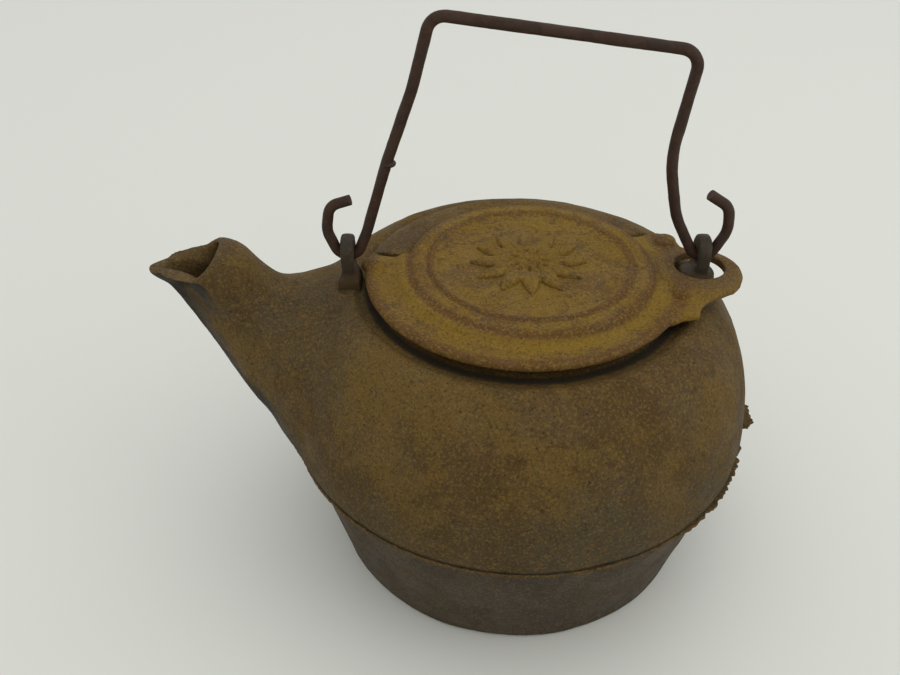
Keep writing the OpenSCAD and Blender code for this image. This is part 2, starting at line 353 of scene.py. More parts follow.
rim_section = [(54, 142), (54, 150.6), (60, 150.8), (66, 150.8), (70, 150.4),
               (73.2, 149.2), (75.4, 146.8), (76.8, 142)]
stop_rim = arc_shape("stop_rim", 2, 31, 166, 60, rim_section)
combine(stop_rim, turned("rim_core", [(RING_X, 58.2, 138), (RING_X, 58.2, 156)], 120),
        "DIFFERENCE")
combine(body, stop_rim, "UNION")
combine(body, spout, "UNION")
combine(body, hollow, "DIFFERENCE")
combine(body, passage, "DIFFERENCE")
measure(body)

# %% [markdown]
# The four shapes are now one skin, but the corner where the spout meets the shoulder is still
# sharp. In the real casting metal filled that corner. So after the remesh, the skin near the
# corner is smoothed many times more than the rest, through a vertex group.

# %% Melt the body into one casting
cast_skin(body, 1.55, 3)


def shoulder_radius(z):
    """Radius of the body's outer skin at a height in millimetres."""
    rise = (z - WAIST_Z) / (DECK_Z - WAIST_Z)
    if rise <= 0:
        return SHELL_R
    return DECK_R + (SHELL_R - DECK_R) * math.sqrt(max(0, 1 - rise * rise))


def corner_weight(point):
    """1 in the corner between the spout and the shoulder, fading to 0 about 9 mm away."""
    x, y, z = point / MM
    if x > -55 or z < 78 or z > 150:
        return 0
    away = abs(math.hypot(x, y) - shoulder_radius(z) - 1.5)
    outside_only = 1 if math.hypot(x, y) > shoulder_radius(z) - 2.2 else 0
    return max(0, 1 - away / 9) * outside_only


fillet = body.vertex_groups.new(name="fillet")
for corner in body.data.vertices:
    weight = corner_weight(corner.co)
    if weight > 0.02:
        fillet.add([corner.index], weight, "REPLACE")
apply_modifier(body, "SMOOTH", factor=0.8, iterations=40, vertex_group="fillet")

# The edge of the mouth is thin, so it is smoothed more, which rounds it and takes out steps
rim = body.vertex_groups.new(name="mouth_rim")
for corner in body.data.vertices:
    x, y, z = corner.co / MM
    if x < -134 and z > 150:
        rim.add([corner.index], min(1, (z - 150) / 3), "REPLACE")
apply_modifier(body, "SMOOTH", factor=0.6, iterations=9, vertex_group="mouth_rim")
roughen(body, 30, 1.1)
roughen(body, 6, 0.3)
smooth_shading(body, 60)
measure(body)

# %% [markdown]
# ## Flash and gate
# Where the two mould halves met, a thin fin of metal squeezed out. Most of it was knocked off.
# It is still ragged at the back, beside the stub of the gate that the iron was poured through.
# A ring is extruded outward, and its outer corners are moved in and out by smooth noise.

# %% Flash round the mould joint
FLASH_SIDES = 540


def flash_reach(angle):
    """How far the fin stands out from the axis, in millimetres, at an angle in degrees."""
    wobble = noise.noise(Vector((angle * 0.55, 3.1, 0))) + 0.6 * noise.noise(
        Vector((angle * 1.7, 9.4, 0)))
    ragged = max(0, 1 - abs(angle + 30) / 24)
    far_side = 0.5 if 30 < angle < 140 else 0
    return 111.6 + 0.45 * wobble + (ragged ** 0.5) * (1.6 + 1.5 * wobble) + far_side


bpy.ops.object.select_all(action="DESELECT")
bpy.ops.mesh.primitive_circle_add(vertices=FLASH_SIDES, radius=107.5 * MM,
                                  location=mm(0, 0, JOINT_Z - 0.1))
flash = bpy.context.object
flash.name = "mould_flash"
settle(flash)
bpy.ops.object.mode_set(mode="EDIT")
bpy.ops.mesh.select_all(action="SELECT")
bpy.ops.mesh.extrude_region()
bpy.ops.transform.resize(value=(1.0372, 1.0372, 1), center_override=mm(0, 0, JOINT_Z))
bpy.ops.mesh.select_all(action="SELECT")
bpy.ops.mesh.extrude_region()
bpy.ops.transform.translate(value=mm(0, 0, 1.3))
bpy.ops.object.mode_set(mode="OBJECT")
for corner in flash.data.vertices:
    if corner.co.xy.length > 109 * MM:
        angle = math.degrees(math.atan2(corner.co.y, corner.co.x))
        reach = flash_reach(angle) - (0.35 if corner.co.z > JOINT_Z * MM else 0)
        corner.co.xy = corner.co.xy.normalized() * reach * MM
        corner.co.z += 0.35 * MM * noise.noise(Vector((angle * 0.4, 0, 5)))
select_only(flash)
bpy.ops.object.mode_set(mode="EDIT")
bpy.ops.mesh.select_all(action="SELECT")
bpy.ops.mesh.normals_make_consistent(inside=False)
bpy.ops.object.mode_set(mode="OBJECT")
smooth_shading(flash, 35)
measure(flash)

# %% [markdown]
# The gate stub is where the metal ran in. It was broken off, so its end is rough. A block is
# cut into small faces, and its broken end is moved by noise and tapered a little.

# %% Gate stub
bpy.ops.object.select_all(action="DESELECT")
bpy.ops.mesh.primitive_cube_add(size=1, location=mm(114.6, 0, JOINT_Z + 1.4))
gate = bpy.context.object
gate.name = "gate_stub"
gate.scale = mm(11, 15, 3.4)
settle(gate)
bpy.ops.object.mode_set(mode="EDIT")
bpy.ops.mesh.select_all(action="SELECT")
bpy.ops.mesh.subdivide(number_cuts=14)
bpy.ops.object.mode_set(mode="OBJECT")
for corner in gate.data.vertices:
    x, y, z = corner.co / MM
    out = (x - 109) / 11
    bite = noise.noise(Vector((y * 0.35, z * 0.5, 2))) + 0.5 * noise.noise(Vector((y, z, 7)))
    corner.co.x += max(0, out) * (1.8 * bite - 1.2 - 0.02 * y * y) * MM
    corner.co.z += 0.35 * noise.noise(Vector((x * 0.4, y * 0.4, 1))) * MM
gate.data.transform(Matrix.Rotation(math.radians(-6), 4, "Z"))
cast_skin(gate, 0.5, 2)
roughen(gate, 3, 0.5)
smooth_shading(gate, 60)
measure(gate)

# %% [markdown]
# ## Ears
# Two flat ears stand across the deck with a hole each for the bail's hooks. They were cast with
# the body, so their edges are round and their roots spread out. A block gets a round top from a
# wide bevel. Its root is extruded down in steps, each thicker than the last. The hole is bored
# last. The ears are thicker here than in the CAD frame, where they are kept clear of the rod.

# %% Shape an ear
EAR_THICK = 6.2
EAR_ROOT_Z = 155.5
ROOT_STEPS = ((1.6, 1), (1.4, 1.05), (1.4, 1.12), (1.3, 1.18), (1.2, 1.2), (8, 1.1))
ROOT_WIDTH_SHARE = 0.89


def ear(name, node, body_x):
    """An upright plate with a round top and a root that spreads in steps of (drop, growth)."""
    low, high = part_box(node)
    top = high.z / MM
    wide = (high.y - low.y) / MM if node == "front_ear" else 14
    bpy.ops.object.select_all(action="DESELECT")
    bpy.ops.mesh.primitive_cube_add(size=1, location=mm(body_x, 0, (top + EAR_ROOT_Z) / 2))
    obj = bpy.context.object
    obj.name = name
    obj.scale = mm(EAR_THICK, wide, top - EAR_ROOT_Z)
    settle(obj)
    bpy.ops.object.mode_set(mode="EDIT")
    bpy.ops.mesh.select_all(action="DESELECT")
    mesh = bmesh.from_edit_mesh(obj.data)
    for side in mesh.edges:
        a, b = side.verts
        along_x = abs(a.co.x - b.co.x) > 1 * MM
        side.select_set(along_x and a.co.z > 160 * MM)
    bmesh.update_edit_mesh(obj.data)
    bpy.ops.mesh.bevel(offset=wide * 0.49 * MM, segments=14, affect="EDGES")
    bpy.ops.mesh.select_all(action="DESELECT")
    mesh = bmesh.from_edit_mesh(obj.data)
    for face in mesh.faces:
        if face.normal.z < -0.9:
            face.select_set(True)
    bmesh.update_edit_mesh(obj.data)
    for drop, grow in ROOT_STEPS:
        bpy.ops.mesh.extrude_region()
        bpy.ops.transform.translate(value=mm(0, 0, -drop))
        bpy.ops.transform.resize(value=(grow, grow * ROOT_WIDTH_SHARE, 1),
                                 center_override=mm(body_x, 0, 140))
    bpy.ops.object.mode_set(mode="OBJECT")
    return obj


def bore(obj, x, z, radius):
    bpy.ops.object.select_all(action="DESELECT")
    bpy.ops.mesh.primitive_cylinder_add(vertices=48, radius=radius * MM, depth=30 * MM,
                                        location=mm(x, 0, z),
                                        rotation=(0, math.radians(90), 0))
    drill = bpy.context.object
    settle(drill)
    combine(obj, drill, "DIFFERENCE")


FRONT_X, REAR_X, BAIL_Z = -79.5, 82, 159
front_ear = ear("front_ear_casting", "front_ear", FRONT_X)
bore(front_ear, FRONT_X, BAIL_Z, 4.1)
cast_skin(front_ear, 0.5, 60, ((9, 0.5), (2.5, 0.2)))
smooth_shading(front_ear, 70)
measure(front_ear)

rear_ear = ear("rear_ear_casting", "rear_ear", REAR_X)
boss = turned("boss", [(REAR_X - 1, 9.2, 138), (REAR_X - 1, 8.8, 144), (REAR_X - 1, 8.6, 149),
                       (REAR_X - 1, 8.3, 151), (REAR_X - 1.3, 7, 152.2),
                       (REAR_X - 1.5, 3, 152.9)], 64)
combine(rear_ear, boss, "UNION")
bore(rear_ear, REAR_X, BAIL_Z, 4.1)
cast_skin(rear_ear, 0.5, 60, ((9, 0.6), (2.5, 0.2)))
smooth_shading(rear_ear, 70)
measure(rear_ear)

# %% [markdown]
# ## The lid
# The lid is one casting: a ring round a flat middle, half a flange on the near side, and a lug
# at the back that goes round the rear ear. The ring has an outer shoulder, a broad band, then a
# groove and a fine bead. All of that is one turned outline about the ring's own axis.

# %% Turn the lid's ring
FOOT_Z = 147.8
ring_outline = [(52, FOOT_Z), (57, FOOT_Z), (57.4, FOOT_Z + 0.6), (57.4, 151.6), (57.1, 153.2),
                (56.3, 154.6), (55, 155.5), (53.6, 155.9), (51.4, 155.9), (49.6, 156.1),
                (48.6, 156), (48, 155.5), (47.5, 155.5), (47, 156.2), (46.2, 156.8),
                (45.2, 156.6), (44.4, 155.9), (43.4, 155.5), (40, 155.3), (25, 155.2),
                (8, 155.2)]
lid = turned("lid_casting", [(RING_X, r, z) for r, z in ring_outline], 180)

# The underside is cored out, which leaves a flat middle 4 mm thick and a foot round it
core = turned("lid_core", [(RING_X, 49.6, 140), (RING_X, 49.6, FOOT_Z), (RING_X, 46, 151.2),
                           (RING_X, 30, 151.4)], 96)
combine(lid, core, "DIFFERENCE")

# %% [markdown]
# The flange covers only the near half. Its outer lip is thick and round, like a rolled edge.
# The lug is a flat outline with a cusp where it leaves the flange and a lobe on the far side.

# %% Add the flange, the lug and its two knobs
lip_x, lip_r, lip_z = 1, 70.9, 150.55
lip_section = [(50, 148.4), (66.4, 148.4)]
for a in range(-140, 141, 20):
    lip_section.append((lip_r + 2.25 * math.cos(math.radians(a)),
                        lip_z + 2.25 * math.sin(math.radians(a))))
lip_section += [(68.2, 151.9), (65, 151.6), (61.5, 151.7), (59.4, 152.4), (57.8, 153.8),
                (56, 154.6), (50, 154.6)]
flange = arc_shape("flange", lip_x, 169.5, 331, 96, lip_section)
combine(lid, flange, "UNION")

lug_outline = [(48, 28), (58, 28.5), (63, 30.6), (67.5, 32), (71.5, 31.4), (74.6, 28.6),
               (76.2, 24), (77.6, 19.2), (81, 17), (86, 16.6), (91.6, 14), (96.4, 9.8),
               (99.6, 4.6), (101, -2), (100.4, -8.4), (98, -14), (94, -18.6), (89, -21.6),
               (84.4, -23.6), (80.6, -26.4), (77.4, -29.6), (75.4, -33.6), (74.2, -38.4),
               (71.4, -38.6), (66.8, -39.6), (61.6, -43), (48, -37)]
bpy.ops.object.select_all(action="DESELECT")
bpy.ops.mesh.primitive_circle_add(vertices=len(lug_outline), radius=0.02, fill_type="NGON")
lug = bpy.context.object
lug.name = "lug"
for corner, (x, y) in zip(lug.data.vertices, lug_outline):
    corner.co = mm(x, y, 149.9)
bpy.ops.object.mode_set(mode="EDIT")
bpy.ops.mesh.select_all(action="SELECT")
bpy.ops.mesh.extrude_region()
bpy.ops.transform.translate(value=mm(0, 0, 2.7))
bpy.ops.mesh.select_all(action="SELECT")
bpy.ops.mesh.normals_make_consistent(inside=False)
bpy.ops.object.mode_set(mode="OBJECT")
combine(lid, lug, "UNION")
eye = turned("eye", [(81.3, 19, 149.9), (81.3, 19.6, 150.6), (81.3, 19.8, 152), (81.3, 19.3, 153.2),
                     (81.3, 17.6, 153.9), (81.3, 13, 153.9)], 96)
eye.data.transform(Matrix.Translation(mm(0, -3, 0)))
combine(lid, eye, "UNION")


def knob(x, y, z, size, squash):
    """A low round button: a sphere with its poles pressed together."""
    bpy.ops.object.select_all(action="DESELECT")
    bpy.ops.mesh.primitive_uv_sphere_add(segments=32, ring_count=16, radius=size * MM,
                                         location=mm(x, y, z))
    button = bpy.context.object
    button.scale = (1, 1, squash)
    settle(button)
    return button


combine(lid, knob(70.3, -22, 152.9, 5.0, 0.62), "UNION")
combine(lid, knob(70.5, 23.5, 152.9, 5.6, 0.5), "UNION")
combine(lid, knob(-68.5, 4.5, 151.2, 6.0, 0.5), "UNION")
lug_hole = turned("lug_hole", [(REAR_X, 11.5, 140), (REAR_X, 11.5, 165)], 72)
combine(lid, lug_hole, "DIFFERENCE")
cast_skin(lid, 0.75, 6)
roughen(lid, 22, 0.5)
roughen(lid, 3.5, 0.22)
measure(lid)

# %% [markdown]
# ## The flower on the lid
# Twelve pointed petals lie round a low bud, with small sepals between the petals' roots. One
# petal is shaped from a sphere: drawn out, pressed flat, and pinched towards its outer point.
# It is copied round the lid's middle, and each copy has its own mesh.

# %% Shape the petals
FLOWER_X, FLOWER_Z = 3, 155.2


def petal(name, root, tip, half_width, rise):
    bpy.ops.object.select_all(action="DESELECT")
    bpy.ops.mesh.primitive_uv_sphere_add(segments=20, ring_count=20, radius=1,
                                         rotation=(0, math.radians(90), 0))
    leaf = bpy.context.object
    leaf.name = name
    settle(leaf)
    for corner in leaf.data.vertices:
        x, y, z = corner.co
        along = (x + 1) / 2
        wide = math.sin(math.pi * along ** 0.8) ** 0.8 if 0 < along < 1 else 0
        round_y, round_z = y, z
        reach = math.sqrt(max(1e-9, 1 - x * x))
        crease = 1 - 0.28 * max(0, 1 - abs(round_y / reach) * 3.2) if reach > 1e-4 else 1
        corner.co = Vector((root + (tip - root) * along,
                            half_width * wide * round_y / reach if reach > 1e-4 else 0,
                            rise * wide ** 0.5 * crease * round_z / reach
                            if reach > 1e-4 else 0)) * MM
    return leaf


def flower_ring(count, first_turn, *shape):
    pieces = []
    for i in range(count):
        leaf = petal(f"petal_{i}", *shape)
        turn = math.radians(first_turn + 360 / count * i)
        leaf.data.transform(Matrix.Translation(mm(FLOWER_X, 0, FLOWER_Z))
                            @ Matrix.Rotation(turn, 4, "Z"))
        pieces.append(leaf)
    return pieces


flower = flower_ring(12, 0, 9, 27, 3.9, 2.7)
flower += flower_ring(12, 15, 5, 17, 2.3, 2.0)
flower += flower_ring(7, 30, 0.5, 9, 2.6, 2.8)
select_only(flower[0])
for leaf in flower:
    leaf.select_set(True)
bpy.context.view_layer.objects.active = flower[0]
bpy.ops.object.join()
blossom = bpy.context.object
blossom.name = "lid_flower"
cast_skin(blossom, 0.36, 2)
smooth_shading(blossom, 60)
measure(blossom)
smooth_shading(lid, 60)

# %% [markdown]
# ## The bail
# The handle is one length of iron rod, bent to shape. Its centre line is a run of straight
# parts with a bend between each two. A curve with a round section follows that line, and is
# then turned into a mesh. The rod is a little thicker at one bend, and slightly wavy.

# %% Centre line of the rod
BENDS = [(-76.8, 187.6, 0), (-86.4, 184.6, 6.5), (-88.4, 172.3, 12), (-79.6, 149.5, 6),
         (-70.6, 171, 40), (-60, 206, 60), (-48.5, 238, 60), (-40.5, 268, 7), (67, 253.5, 8),
         (61, 207, 60), (67.4, 179.4, 40), (82.2, 151.8, 6.2), (91.9, 172.2, 14), (90.4, 184, 8),
         (81, 190, 0)]


def rod_path():
    """Points along the rod, close together in the bends and along the straights."""
    points = []
    corners = [Vector((x, z)) for x, z, _ in BENDS]
    for i, (x, z, radius) in enumerate(BENDS):
        here = corners[i]
        if i in (0, len(BENDS) - 1):
            points.append(here)
            continue
        come = (here - corners[i - 1]).normalized()
        go = (corners[i + 1] - here).normalized()
        turn = math.atan2(come.x * go.y - come.y * go.x, come.dot(go))
        trim = radius * math.tan(abs(turn) / 2)
        start = here - come * trim
        side = Vector((-come.y, come.x)) * math.copysign(1, turn)
        centre = start + side * radius
        steps = max(6, int(abs(turn) * radius / 1.2))
        for k in range(steps + 1):
            a = turn * k / steps
            arm = start - centre
            points.append(centre + Vector((arm.x * math.cos(a) - arm.y * math.sin(a),
                                           arm.x * math.sin(a) + arm.y * math.cos(a))))
    path = [points[0]]
    for point in points[1:]:
        gap = (point - path[-1]).length
        if gap < 0.05:
            continue
        parts = max(1, round(gap / 2.2))
        last = path[-1]
        path += [last + (point - last) * j / parts for j in range(1, parts + 1)]
    return path


centre_line = rod_path()
rod_length = sum((b - a).length for a, b in zip(centre_line, centre_line[1:]))
print("rod length", round(rod_length, 1), "mm from", len(centre_line), "points")

# %% Sweep the rod
rod_curve = bpy.data.curves.new("bail_rod", "CURVE")
rod_curve.dimensions = "3D"
spline = rod_curve.splines.new("POLY")
spline.points.add(len(centre_line) - 1)
for point, place in zip(spline.points, centre_line):
    point.co = (place.x * MM, 0, place.y * MM, 1)
    point.radius = 1 + 0.02 * noise.noise(Vector((place.x * 0.12, place.y * 0.12, 0)))
rod_curve.bevel_depth = 2.48 * MM
rod_curve.bevel_resolution = 5
rod_curve.use_fill_caps = True
bail = bpy.data.objects.new("bail_rod", rod_curve)
bpy.context.scene.collection.objects.link(bail)
select_only(bail)
bpy.ops.object.convert(target="MESH")
bail = bpy.context.object
bpy.ops.object.mode_set(mode="EDIT")
bpy.ops.mesh.select_all(action="SELECT")
bpy.ops.mesh.remove_doubles(threshold=0.02 * MM)
bpy.ops.mesh.normals_make_consistent(inside=False)
bpy.ops.object.mode_set(mode="OBJECT")
burr = knob(-59.2, 0, 205, 3.1, 0.5)
combine(bail, burr, "UNION")
roughen(bail, 14, 0.3)
roughen(bail, 3, 0.2)
smooth_shading(bail, 50)
measure(bail)

# %% [markdown]
# ## Rusted iron
# Old rust is not one colour. Ochre bloom lies in patches over dark brown iron. The stove well is
# sooty, the body grows darker towards the stove, the joint is orange where it holds damp, and
# faces that look down carry painted shade. Most effects are small shader groups, built once and
# given new values in each finish. All patterns are solid, on Object coordinates, so they run on
# from one piece to the next.

# %% Shader groups
def linear(red, green, blue):
    """A colour, 0 to 255, as the linear values that a shader needs."""
    def one(value):
        value /= 255
        return value / 12.92 if value <= 0.04045 else ((value + 0.055) / 1.055) ** 2.4
    return (one(red), one(green), one(blue), 1)


def new_group(name, inputs, outputs):
    tree = bpy.data.node_groups.new(name, "ShaderNodeTree")
    for label, kind, value in inputs:
        socket = tree.interface.new_socket(name=label, in_out="INPUT", socket_type=kind)
        if value is not None:
            socket.default_value = value
    for label in outputs:
        tree.interface.new_socket(name=label, in_out="OUTPUT", socket_type="NodeSocketFloat")
    return tree, tree.nodes.new("NodeGroupInput"), tree.nodes.new("NodeGroupOutput")


def maths(tree, operation, first, second=None, clamp=False):
    node = tree.nodes.new("ShaderNodeMath")
    node.operation = operation
    node.use_clamp = clamp
    for socket, value in zip(node.inputs, (first, second)):
        if value is None:
            continue
        if isinstance(value, (int, float)):
            socket.default_value = value
        else:
            tree.links.new(value, socket)
    return node.outputs[0]


def noise_field(tree, vector, scale, detail, roughness, distortion=0.0):
    node = tree.nodes.new("ShaderNodeTexNoise")
    node.inputs["Detail"].default_value = detail
    node.inputs["Roughness"].default_value = roughness
    node.inputs["Distortion"].default_value = distortion
    tree.links.new(vector, node.inputs["Vector"])
    if isinstance(scale, (int, float)):
        node.inputs["Scale"].default_value = scale
    else:
        tree.links.new(scale, node.inputs["Scale"])
    return node.outputs["Fac"]


def ramp(tree, value, low, high):
    """0 below low, 1 above high, and smooth between them."""
    node = tree.nodes.new("ShaderNodeMapRange")
    node.interpolation_type = "SMOOTHSTEP"
    tree.links.new(value, node.inputs["Value"])
    for label, limit in (("From Min", low), ("From Max", high)):
        if isinstance(limit, (int, float)):
            node.inputs[label].default_value = limit
        else:
            tree.links.new(limit, node.inputs[label])
    return node.outputs["Result"]


VECTOR, FLOAT = "NodeSocketVector", "NodeSocketFloat"

# Patches with a grainy edge, such as bloom over bare iron
patches, given, out = new_group("rust_patches", [
    ("Vector", VECTOR, None), ("Scale", FLOAT, 30), ("Cover", FLOAT, 0.5),
    ("Edge", FLOAT, 0.08)], ["Mask"])
broad = noise_field(patches, given.outputs["Vector"], given.outputs["Scale"], 9, 0.66, 0.4)
fine = noise_field(patches, given.outputs["Vector"], 620, 3, 0.6)
mixed = maths(patches, "ADD", broad, maths(patches, "MULTIPLY",
                                           maths(patches, "SUBTRACT", fine, 0.5), 0.34))
level = maths(patches, "SUBTRACT", 1, given.outputs["Cover"])
low_edge = maths(patches, "SUBTRACT", level, given.outputs["Edge"])
high_edge = maths(patches, "ADD", level, given.outputs["Edge"])
patches.links.new(ramp(patches, mixed, low_edge, high_edge), out.inputs["Mask"])

# Height of the sandy skin: fine grain, soft lumps and scattered pits
sand, given, out = new_group("sand_grain", [
    ("Vector", VECTOR, None), ("Scale", FLOAT, 1300), ("Pits", FLOAT, 0.5)], ["Height", "Pit"])
grain = noise_field(sand, given.outputs["Vector"], given.outputs["Scale"], 5, 0.62)
lumps = noise_field(sand, given.outputs["Vector"], 240, 4, 0.55)
cells = sand.nodes.new("ShaderNodeTexVoronoi")
sand.links.new(given.outputs["Vector"], cells.inputs["Vector"])
sand.links.new(maths(sand, "MULTIPLY", given.outputs["Scale"], 0.42), cells.inputs["Scale"])
pit_shape = ramp(sand, cells.outputs["Distance"], 0.34, 0.08)
pit_place = ramp(sand, noise_field(sand, given.outputs["Vector"], 420, 2, 0.5), 0.52, 0.66)
pit = maths(sand, "MULTIPLY", maths(sand, "MULTIPLY", pit_shape, pit_place),
            given.outputs["Pits"])
height = maths(sand, "ADD", maths(sand, "MULTIPLY", grain, 0.5),
               maths(sand, "MULTIPLY", lumps, 0.9))
sand.links.new(maths(sand, "SUBTRACT", height, pit), out.inputs["Height"])
sand.links.new(pit, out.inputs["Pit"])

# A band at a height, from one level in metres to another
level_fade, given, out = new_group("height_fade", [
    ("Vector", VECTOR, None), ("From", FLOAT, 0.0), ("To", FLOAT, 0.1)], ["Mask"])
split = level_fade.nodes.new("ShaderNodeSeparateXYZ")
level_fade.links.new(given.outputs["Vector"], split.inputs[0])
level_fade.links.new(ramp(level_fade, split.outputs["Z"], given.outputs["From"],
                          given.outputs["To"]), out.inputs["Mask"])

# A round band about an upright axis, such as a worn ridge
round_band, given, out = new_group("round_band", [
    ("Vector", VECTOR, None), ("Centre", FLOAT, 0.0), ("Radius", FLOAT, 0.05),
    ("Width", FLOAT, 0.002)], ["Mask"])
split = round_band.nodes.new("ShaderNodeSeparateXYZ")
round_band.links.new(given.outputs["Vector"], split.inputs[0])
off_x = maths(round_band, "SUBTRACT", split.outputs["X"], given.outputs["Centre"])
reach = maths(round_band, "SQRT", maths(
    round_band, "ADD", maths(round_band, "MULTIPLY", off_x, off_x),
    maths(round_band, "MULTIPLY", split.outputs["Y"], split.outputs["Y"])))
gap = maths(round_band, "ABSOLUTE", maths(round_band, "SUBTRACT", reach,
                                          given.outputs["Radius"]))
band = maths(round_band, "DIVIDE", gap, given.outputs["Width"])
round_band.links.new(ramp(round_band, band, 1.0, 0.25), out.inputs["Mask"])
print("shader groups", [tree.name for tree in bpy.data.node_groups])

# %% [markdown]
# A finish starts from one colour and lays others over it, each through a mask. The same grain
# drives the bump and darkens the pits. Rust scatters light widely, so it is rough all over,
# and only rubbed places shine a little.

# %% Build a finish
class Finish:
    """A rusted finish: colours laid over each other through masks."""

    def __init__(self, name, base, rough, grain_scale, pits, bump):
        self.material = bpy.data.materials.new(name)
        self.material.use_nodes = True
        self.tree = self.material.node_tree
        self.shader = self.tree.nodes["Principled BSDF"]
        self.shader.inputs["Specular IOR Level"].default_value = 0.2
        self.place = self.tree.nodes.new("ShaderNodeTexCoord").outputs["Object"]
        self.colour = linear(*base)
        skin = self.group("sand_grain", Scale=grain_scale, Pits=pits)
        bumped = self.tree.nodes.new("ShaderNodeBump")
        bumped.inputs["Strength"].default_value = bump
        bumped.inputs["Distance"].default_value = 0.0006
        self.tree.links.new(skin.outputs["Height"], bumped.inputs["Height"])
        self.tree.links.new(bumped.outputs["Normal"], self.shader.inputs["Normal"])
        self.pit = skin.outputs["Pit"]
        self.grain = skin.outputs["Height"]
        worn = self.group("rust_patches", Scale=55, Cover=0.5, Edge=0.12)
        rough_mix = self.tree.nodes.new("ShaderNodeMapRange")
        rough_mix.inputs["To Min"].default_value = rough[0]
        rough_mix.inputs["To Max"].default_value = rough[1]
        self.tree.links.new(worn.outputs["Mask"], rough_mix.inputs["Value"])
        self.tree.links.new(rough_mix.outputs["Result"], self.shader.inputs["Roughness"])

    def group(self, name, **values):
        node = self.tree.nodes.new("ShaderNodeGroup")
        node.node_tree = bpy.data.node_groups[name]
        self.tree.links.new(self.place, node.inputs["Vector"])
        for label, value in values.items():
            node.inputs[label].default_value = value
        return node

    def mask(self, name, **values):
        return self.group(name, **values).outputs["Mask"]

    def times(self, first, second):
        return maths(self.tree, "MULTIPLY", first, second)

    def lay(self, colour, mask, amount=1.0):
        """Lay a colour over what is there, through a mask."""
        mix = self.tree.nodes.new("ShaderNodeMix")
        mix.data_type = "RGBA"
        if amount != 1.0:
            mask = self.times(mask, amount)
        self.tree.links.new(mask, mix.inputs["Factor"])
        if isinstance(self.colour, tuple):
            mix.inputs["A"].default_value = self.colour
        else:
            self.tree.links.new(self.colour, mix.inputs["A"])
        mix.inputs["B"].default_value = linear(*colour)
        self.colour = mix.outputs["Result"]

    def speckle(self, light, dark, amount):
        """Single grains that are lighter or darker than what is round them."""
        self.lay(light, self.mask("rust_patches", Scale=800, Cover=0.45, Edge=0.04), amount)
        self.lay(dark, self.mask("rust_patches", Scale=950, Cover=0.44, Edge=0.04), amount)

    def shade_undersides(self, colour, amount):
        """Painted shade: darken the faces that look down, such as the spout's underside."""
        facing = self.tree.nodes.new("ShaderNodeSeparateXYZ")
        shape = self.tree.nodes.new("ShaderNodeNewGeometry")
        self.tree.links.new(shape.outputs["Normal"], facing.inputs[0])
        self.lay(colour, ramp(self.tree, facing.outputs["Z"], -0.06, -0.32), amount)

    def done(self):
        self.tree.links.new(self.colour, self.shader.inputs["Base Color"])
        return self.material


def wear(obj, material):
    obj.data.materials.clear()
    obj.data.materials.append(material)


# %% Body finish
finish = Finish("rusted_body_iron", (76, 56, 24), (0.66, 0.9), 1500, 0.9, 0.9)
finish.lay((104, 81, 34), finish.mask("rust_patches", Scale=26, Cover=0.52, Edge=0.05), 0.62)
finish.lay((98, 73, 32), finish.mask("rust_patches", Scale=95, Cover=0.47, Edge=0.05), 0.45)
finish.lay((62, 55, 42), finish.mask("rust_patches", Scale=10, Cover=0.44, Edge=0.08), 0.6)
finish.lay((74, 64, 41), finish.mask("rust_patches", Scale=17, Cover=0.42, Edge=0.07), 0.55)
finish.lay((62, 47, 25), finish.mask("rust_patches", Scale=160, Cover=0.40, Edge=0.04), 0.5)
finish.lay((133, 80, 24), finish.mask("rust_patches", Scale=130, Cover=0.33, Edge=0.03), 0.5)
# Darker towards the bottom of the body: none above 115 mm, full below 75 mm
lower_body_darkening = finish.mask("height_fade", From=0.115, To=0.075)
finish.lay((62, 52, 33), lower_body_darkening, 0.5)
joint = finish.times(finish.mask("height_fade", From=0.0745, To=0.071),
                     finish.mask("rust_patches", Scale=210, Cover=0.5, Edge=0.05))
finish.lay((108, 72, 30), joint, 0.3)
finish.speckle((116, 93, 44), (46, 35, 19), 0.5)
# Painted shade: a dark band on the deck in the gap under the lid's lip
under_lip_shade = finish.times(finish.mask("height_fade", From=0.1462, To=0.1452),
                         finish.mask("round_band", Centre=0.001, Radius=0.0715, Width=0.0035))
finish.lay((34, 29, 20), under_lip_shade, 0.9)
# Painted shade on every face that looks down
finish.shade_undersides((33, 28, 20), 0.95)
finish.lay((35, 28, 17), finish.pit, 0.6)
body_iron = finish.done()

# %% Stove well finish
finish = Finish("sooty_well_iron", (66, 54, 38), (0.6, 0.82), 1500, 0.8, 0.55)
finish.lay((52, 44, 33), finish.mask("rust_patches", Scale=30, Cover=0.5, Edge=0.08), 0.7)
finish.lay((80, 62, 40), finish.mask("rust_patches", Scale=60, Cover=0.38, Edge=0.06), 0.5)
finish.lay((118, 106, 84), finish.mask("rust_patches", Scale=520, Cover=0.27, Edge=0.02), 0.6)
rim_rust = finish.times(finish.mask("height_fade", From=0.060, To=0.069),
                        finish.mask("rust_patches", Scale=120, Cover=0.45, Edge=0.06))
finish.lay((126, 84, 38), rim_rust, 0.7)
finish.speckle((108, 94, 72), (48, 40, 30), 0.4)
finish.lay((38, 33, 28), finish.pit, 0.6)
well_iron = finish.done()

